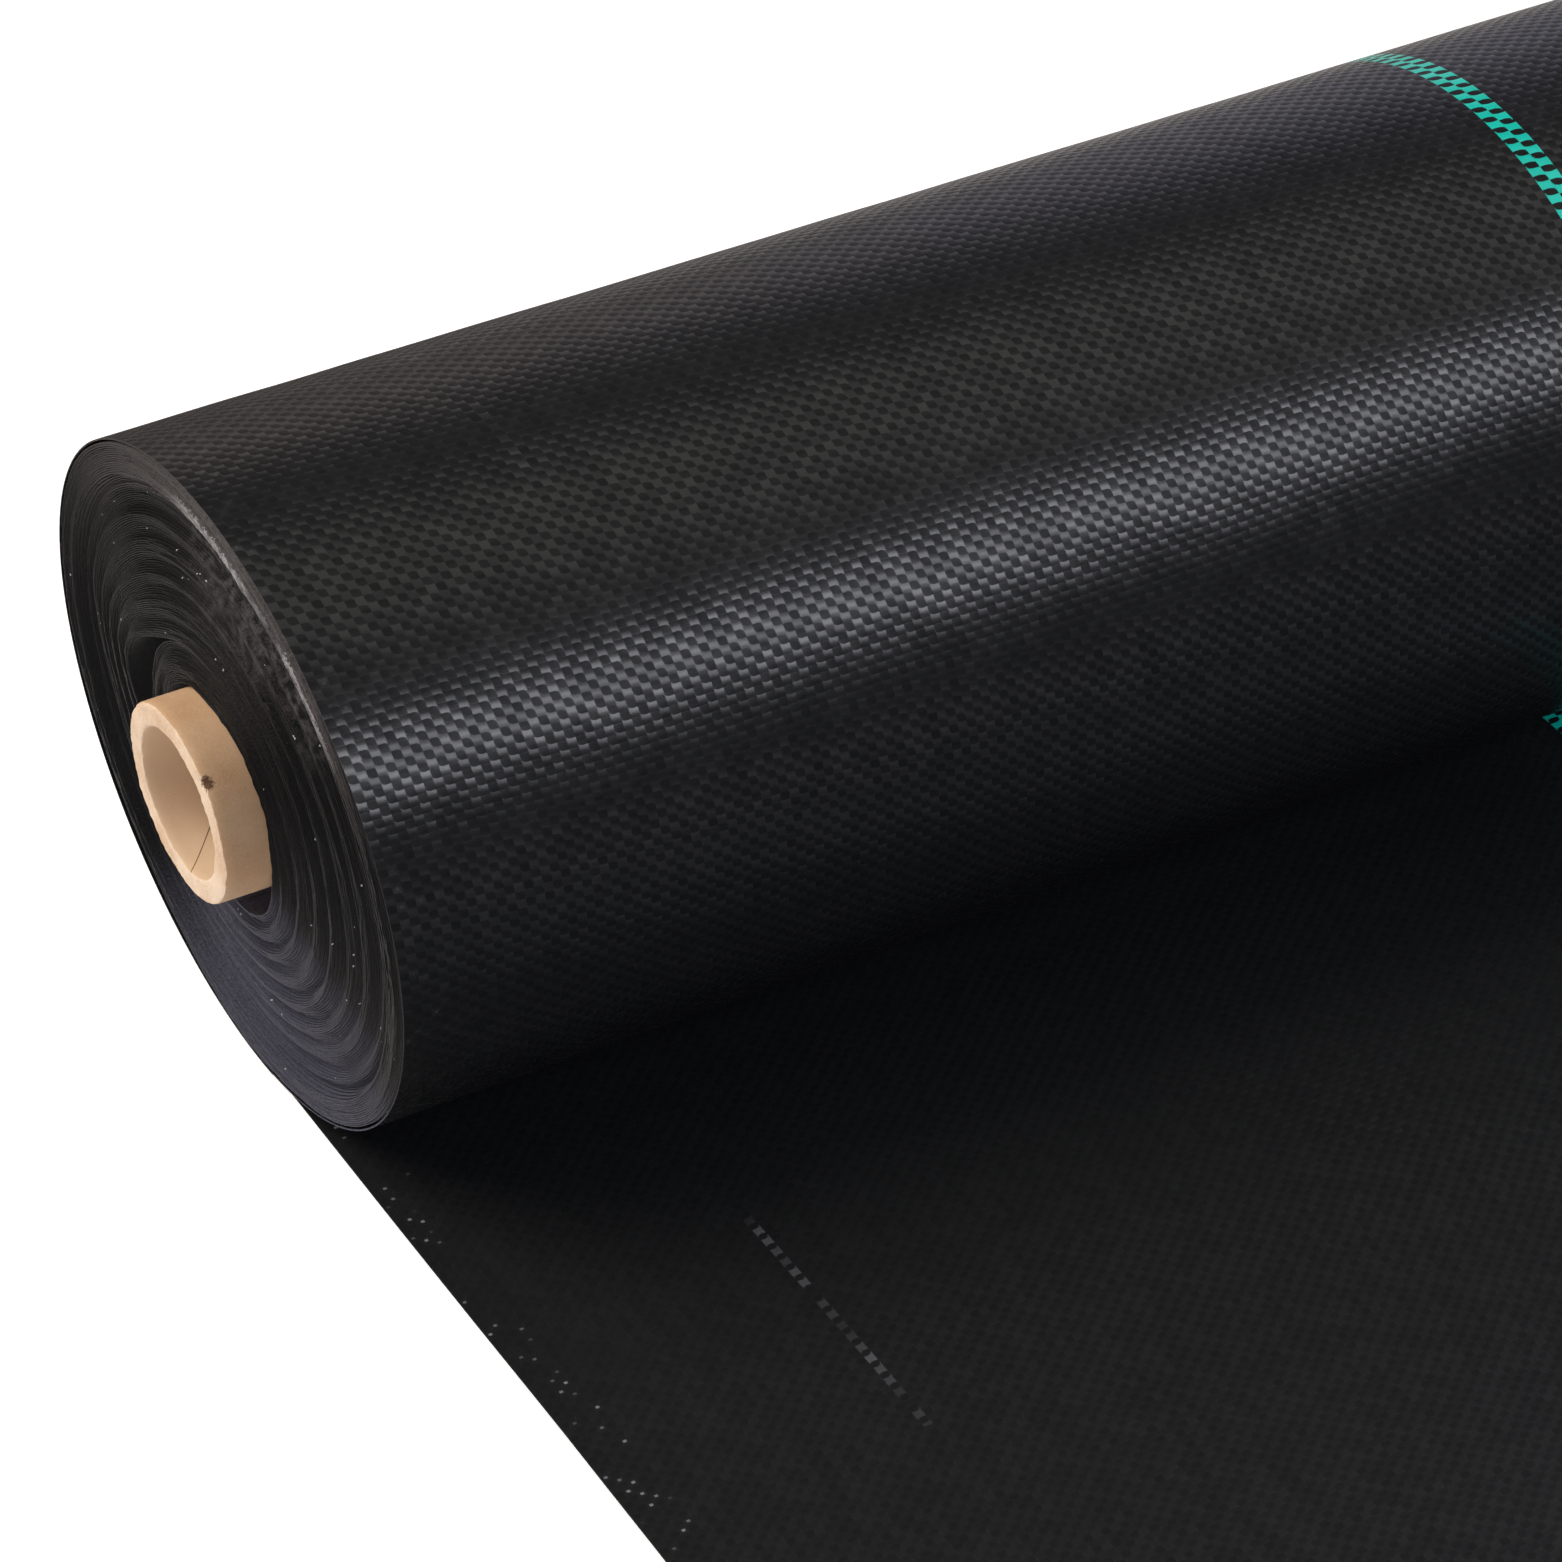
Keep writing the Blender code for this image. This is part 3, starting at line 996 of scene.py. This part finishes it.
@dataclass
class OuterLap:
    """The outermost lap, whose weave shows: a little rumpled, tight over the laps below."""

    shape: RollShape
    thickness: float = 0.0005
    segments: tuple[int, int] = (244, 132)
    rumple: float = 0.00035
    climb: float = 0.0003
    wave_rate: float = 9.0
    wave_turn: float = 1.1
    ring_rate: float = 34.0
    ring_turn: float = 0.5
    ring_share: float = 0.4

    def place(self, x: float, s: float) -> Vector:
        """Place of a point of the lap.

        Args:
            x: Metres from the cloth's left edge.
            s: Metres up the back from the line under the axis.

        Returns:
            The place in the frame.
        """
        angle = BOTTOM + s / self.shape.roll_radius
        part = s / (FULL_TURN * self.shape.roll_radius)
        behind, above = math.cos(angle), math.sin(angle)
        waves = Vector((x * self.wave_rate, behind * self.wave_turn, above * self.wave_turn))
        rings = Vector((x * self.ring_rate, behind * self.ring_turn, above * self.ring_turn))
        sunk = self.rumple * (0.5 + 0.5 * noise.noise(waves))
        sunk += self.ring_share * self.rumple * noise.noise(rings)
        radius = self.shape.roll_radius - self.climb * part - max(sunk, 0.0)
        shift = self.shape.edge_shift(radius, angle)
        return self.shape.point(x - self.shape.cloth_width / 2 + shift, radius, angle)

    def build(self, finish: bpy.types.Material, edge: bpy.types.Material) -> bpy.types.Object:
        """Args:
            finish: The woven face.
            edge: The cloth's edges.

        Returns:
            The piece.
        """
        width, length = self.shape.cloth_width, FULL_TURN * self.shape.roll_radius
        finishes = [finish, edge]
        piece = flat_cloth("outer_lap", width, length, self.segments, self.place, -self.thickness, finishes)
        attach(piece, Body.ROLL.value)
        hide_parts("rolled_cloth", "rolled_stripe_left", "rolled_stripe_right")
        LOG.info("outer_lap: %.3f m round", length)
        return piece


@dataclass
class LaidEnd:
    """The cloth's free end, flat on the floor with faint waves left by its winding."""

    shape: RollShape
    thickness: float = 0.0004
    segments: tuple[int, int] = (244, 103)
    lift: float = 0.0009
    wave: float = 0.0014
    broad_rates: Pair = (5.0, 7.0)
    broad_share: float = 0.7
    fine_rates: Pair = (16.0, 13.0)
    fine_share: float = 0.25
    strayed: float = 0.0015
    calm: float = 0.07
    calm_ease: float = 0.12
    curl: float = 0.0008
    curl_width: float = 0.016
    curl_rate: float = 9.0
    curl_least: float = 0.6
    curl_share: float = 0.8
    seeds: Triple = (0.3, 4.1, 2.0)

    def place(self, x: float, s: float) -> Vector:
        """Place of a point of the laid cloth.

        Args:
            x: Metres from the cloth's left edge.
            s: Metres from the cut edge.

        Returns:
            The place in the frame.
        """
        y = self.shape.axis_y - self.shape.laid_length + s
        free = eased((self.shape.axis_y - self.calm - y) / self.calm_ease)
        broad = noise.noise(Vector((x * self.broad_rates[0], y * self.broad_rates[1], self.seeds[0])))
        fine = noise.noise(Vector((x * self.fine_rates[0], y * self.fine_rates[1], self.seeds[1])))
        edge = min(x, self.shape.cloth_width - x) / self.curl_width
        ripple = noise.noise(Vector((x, y * self.curl_rate, self.seeds[2])))
        ripple = self.curl_least + self.curl_share * ripple
        raised = self.curl * max(1 - edge, 0) ** 2 * ripple
        waves = self.wave * (0.5 + self.broad_share * broad + self.fine_share * fine)
        height = self.lift + free * (waves + raised)
        left = self.shape.lean_up * self.shape.roll_radius - self.shape.cloth_width / 2 + self.strayed
        return Vector((left + x, y, max(height, self.lift)))

    def build(self, finish: bpy.types.Material, edge: bpy.types.Material) -> bpy.types.Object:
        """Args:
            finish: The woven face.
            edge: The cloth's edges.

        Returns:
            The piece.
        """
        width, length = self.shape.cloth_width, self.shape.laid_length + self.shape.laid_behind
        finishes = [finish, edge]
        piece = flat_cloth("laid_sheet", width, length, self.segments, self.place, self.thickness, finishes)
        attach(piece, Body.LAID_END.value)
        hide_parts("laid_cloth", "laid_stripe_left", "laid_stripe_right")
        LOG.info("laid_sheet: %.3f m long", length)
        return piece


@dataclass
class CoreTube:
    """The kraft tube, its sawn ends ragged and a little out of square, and one of them torn.

    Coarse, fine and inward are each a share of the ragged depth and a rate per metre.
    """

    shape: RollShape
    edge_round: float = 0.0009
    rings: int = 8
    segments: int = 256
    ragged: float = 0.0004
    ragged_mean: float = 0.6
    coarse: Pair = (0.7, 150.0)
    fine: Pair = (0.5, 520.0)
    inward: Pair = (0.35, 420.0)
    torn_depth: float = 0.0022
    torn_width: float = 0.0034
    sharp_angle: float = math.radians(40)

    def build(self, finish: bpy.types.Material) -> bpy.types.Object:
        """Spins the wall's profile and roughens its ends.

        Args:
            finish: The paper.

        Returns:
            The piece.
        """
        half = self.shape.core_half()
        outside, inside = self.shape.core_radius, self.shape.core_radius - self.shape.core_wall
        builder = bmesh.new()
        profile = ((-half, inside), (half, inside), (half, outside), (-half, outside))
        corners = [builder.verts.new((x, 0.0, z)) for x, z in profile]
        for first, second in zip(corners, corners[1:] + corners[:1]):
            builder.edges.new((first, second))
        rounding = {"segments": 2, "profile": 0.5, "affect": "VERTICES", "material": -1}
        bmesh.ops.bevel(builder, geom=corners, offset=self.edge_round, **rounding)
        ends = [e for e in builder.edges if 2 * self.edge_round < e.calc_length() < self.shape.core_wall]
        bmesh.ops.subdivide_edges(builder, edges=ends, cuts=self.rings)
        bmesh.ops.spin(
            builder,
            geom=list(builder.verts) + list(builder.edges),
            cent=(0.0, 0.0, 0.0),
            axis=(1.0, 0.0, 0.0),
            dvec=(0.0, 0.0, 0.0),
            angle=FULL_TURN,
            steps=self.segments,
            use_merge=True,
            use_duplicate=False,
        )
        for place in (self.torn_width - half, 2 * self.torn_width - half, half - self.torn_width):
            whole = [*builder.verts, *builder.edges, *builder.faces]
            bmesh.ops.bisect_plane(builder, geom=whole, plane_co=(place, 0.0, 0.0), plane_no=(1.0, 0.0, 0.0))
        bmesh.ops.recalc_face_normals(builder, faces=builder.faces)
        self._roughen(builder, half)
        piece = new_piece("paper_core", builder, [finish])
        piece.data.shade_smooth()
        piece.data.set_sharp_from_angle(angle=self.sharp_angle)
        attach(piece, Body.ROLL.value)
        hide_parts("core_tube")
        LOG.info("paper_core: %.3f m long", 2 * half)
        return piece

    def _roughen(self, builder: bmesh.types.BMesh, half: float) -> None:
        """Makes the sawn ends ragged and out of square, tears one, and moves the tube to its axis.

        Args:
            builder: The tube.
            half: Half its length.
        """
        torn_at = self.shape.torn_rim()
        for vert in builder.verts:
            flat = Vector((0.0, vert.co.y, vert.co.z))
            if abs(vert.co.x) > half - 2 * self.edge_round:
                side = math.copysign(1.0, vert.co.x)
                saw = self.coarse[0] * noise.noise(flat * self.coarse[1])
                saw += self.fine[0] * noise.noise(flat * self.fine[1] + Vector((side, 0.0, 0.0)))
                vert.co.x += side * self.ragged * (saw - self.ragged_mean)
                shrunk = noise.noise(flat * self.inward[1] + Vector((0.0, side, 7.0)))
                vert.co.yz -= flat.normalized().yz * abs(self.inward[0] * self.ragged * shrunk)
                if side < 0:
                    near = 1.0 - min((flat - torn_at).length / self.torn_width, 1.0)
                    vert.co.x += self.torn_depth * near * near
            vert.co.x -= self.shape.core_cut_back * flat.y + self.shape.core_cut_up * flat.z
            vert.co.y += self.shape.axis_y
            vert.co.z += self.shape.axis_z


@dataclass
class AreaLamp:
    """One soft box: where it stands, what it faces, its size and how bright its face is."""

    name: str
    place: Triple
    aim: Triple
    size: Pair
    radiance: float
    colour: str = "#ffffff"
    long_side: Triple = (1.0, 0.0, 0.0)

    def build(self) -> None:
        """Hangs the lamp, out of the lens's sight."""
        lamp = bpy.data.lights.new(self.name, "AREA")
        lamp.shape = "RECTANGLE"
        lamp.size, lamp.size_y = self.size
        lamp.energy = self.radiance * math.pi * self.size[0] * self.size[1]
        lamp.color = linear(self.colour)[:3]
        obj = bpy.data.objects.new(self.name, lamp)
        bpy.context.scene.collection.objects.link(obj)
        obj.visible_camera = False
        obj.location = self.place
        back = (Vector(self.place) - Vector(self.aim)).normalized()
        along = Vector(self.long_side)
        along -= back * back.dot(along)
        along.normalize()
        up = back.cross(along)
        obj.rotation_euler = Matrix((along, up, back)).transposed().to_euler()


@dataclass
class Studio:
    """Floor, lamps, surrounding light and camera.

    The world's levels are the wall's glow and its foot, dark on the left and bright on the
    right, and its edges are parts of a direction: to the right, up and behind.
    """

    floor_half: float = 30.0
    dark_foot: float = 0.05
    bright_foot: float = 0.65
    wall_glow: float = 0.52
    room_level: float = 0.07
    warm_wall: str = "#fff0e4"
    cool_wall: str = "#ece8ff"
    right_edge: Pair = (0.36, 0.45)
    foot_edge: Pair = (0.08, 0.3)
    top_edge: Pair = (0.44, 0.66)
    behind_edge: Pair = (0.0, 0.4)
    lens: float = 147.19
    sensor_width: float = 36.0
    clip_start: float = 0.05
    camera_place: Triple = (-1.1475, -1.1898, 1.1420)
    camera_turn: Triple = (0.9576, 0.0311, -0.4970)
    lamps: list[AreaLamp] = field(
        default_factory=lambda: [
            AreaLamp(
                "front_strip",
                (0.5, -1.319, 1.149),
                (0.5, 0.133, 0.125),
                (2.3, 0.34),
                8.5,
                "#f4f5fd",
                (0.930, 0.195, 0.300),
            ),
            AreaLamp("ceiling_panel", (0.4, -0.01, 1.70), (0.4, 0.0, 0.20), (3.0, 1.4), 0.62, "#fdfbf2"),
            AreaLamp("left_box", (-1.9, 0.9, 1.7), (-0.5, 0.15, 0.1), (1.4, 1.4), 7.5, "#fff7ec"),
            AreaLamp("camera_fill", (-1.7, -1.7, 0.9), (-0.3, 0.1, 0.05), (1.2, 1.2), 1.6, "#f2f4ff"),
        ]
    )

    def build(self) -> None:
        """Sets the whole studio."""
        self._floor()
        for lamp in self.lamps:
            lamp.build()
        self._surround()
        self._camera()
        bpy.context.scene.view_settings.view_transform = "Standard"

    def _floor(self) -> None:
        """Lays the floor just under the cloth."""
        builder = bmesh.new()
        bmesh.ops.create_grid(builder, x_segments=1, y_segments=1, size=self.floor_half)
        floor = new_piece("floor", builder, [PaintedFloor().material()])

    def _surround(self) -> None:
        """Dim room with a soft glow on the wall behind, warm on the left and cool on the right."""
        world = bpy.data.worlds.new("studio_walls")
        bpy.context.scene.world = world
        world.use_nodes = True
        world.node_tree.nodes.clear()
        add = partial(add_node, world.node_tree)
        direction = add(COORDINATES).outputs["Generated"]
        apart = add(SPLIT, {}, (direction,)).outputs
        right = add(RANGE, SMOOTH, (apart["X"], *self.right_edge))
        low = add(RANGE, {}, (right, 0.0, 1.0, self.dark_foot, self.bright_foot))
        level = add(RANGE, SMOOTH, (apart["Z"], *self.foot_edge, low, self.wall_glow))
        fall = add(RANGE, SMOOTH, (apart["Z"], *self.top_edge, 1.0, 0.0))
        behind = add(RANGE, SMOOTH, (apart["Y"], *self.behind_edge))
        for share in (fall, behind):
            level = add(MATH, TIMES, (level, share))
        level = add(MATH, PLUS, (level, self.room_level))
        tint = add(MIX, COLOURS, {0: right, 6: linear(self.warm_wall), 7: linear(self.cool_wall)})
        walls = add("ShaderNodeBackground", {}, (tint, level))
        white = add("ShaderNodeBackground", {}, (WHITE, 1.0))
        seen = add("ShaderNodeLightPath").outputs["Is Camera Ray"]
        both = add("ShaderNodeMixShader", {}, (seen, walls, white))
        add("ShaderNodeOutputWorld", {}, (both,))

    def _camera(self) -> None:
        """Stands the camera where the photograph was taken."""
        lens = bpy.data.cameras.new("camera")
        lens.lens = self.lens
        lens.sensor_width = self.sensor_width
        lens.clip_start = self.clip_start
        camera = bpy.data.objects.new("camera", lens)
        bpy.context.scene.collection.objects.link(camera)
        camera.location = self.camera_place
        camera.rotation_euler = self.camera_turn
        bpy.context.scene.camera = camera


def main() -> None:
    """Builds the pieces in order and dresses them."""
    logging.basicConfig(level=logging.INFO, format="%(name)s: %(message)s")
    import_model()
    low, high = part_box("core_tube")
    middle = (low + high) / 2
    shape = RollShape(axis_y=middle.y, axis_z=middle.z)
    # Painted glints on the wound copy are dimmed to 0.12 of the laid copy's.
    rolled = WovenTape("woven_polypropylene_tape_wound", glint=0.12).material()
    # Painted light: the laid copy's warp and weft are lighter than the wound copy's, so the sheet reads
    # brighter.
    laid = WovenTape(
        "woven_polypropylene_tape_laid",
        slack=0.75,
        warp_colour="#1c1d1f",
        weft_colour="#18191a",
        weft_sheen=0.25,
        stripe_columns=(147, 282),
    ).material()
    edges = TapeEdges("packed_polypropylene_tape_edges", middle).material()
    Studio().build()
    Winding(shape).build(edges)
    OuterLap(shape).build(rolled, edges)
    LaidEnd(shape).build(laid, edges)
    CoreTube(shape).build(KraftPaper(middle, shape).material())


if __name__ == "__main__":
    main()
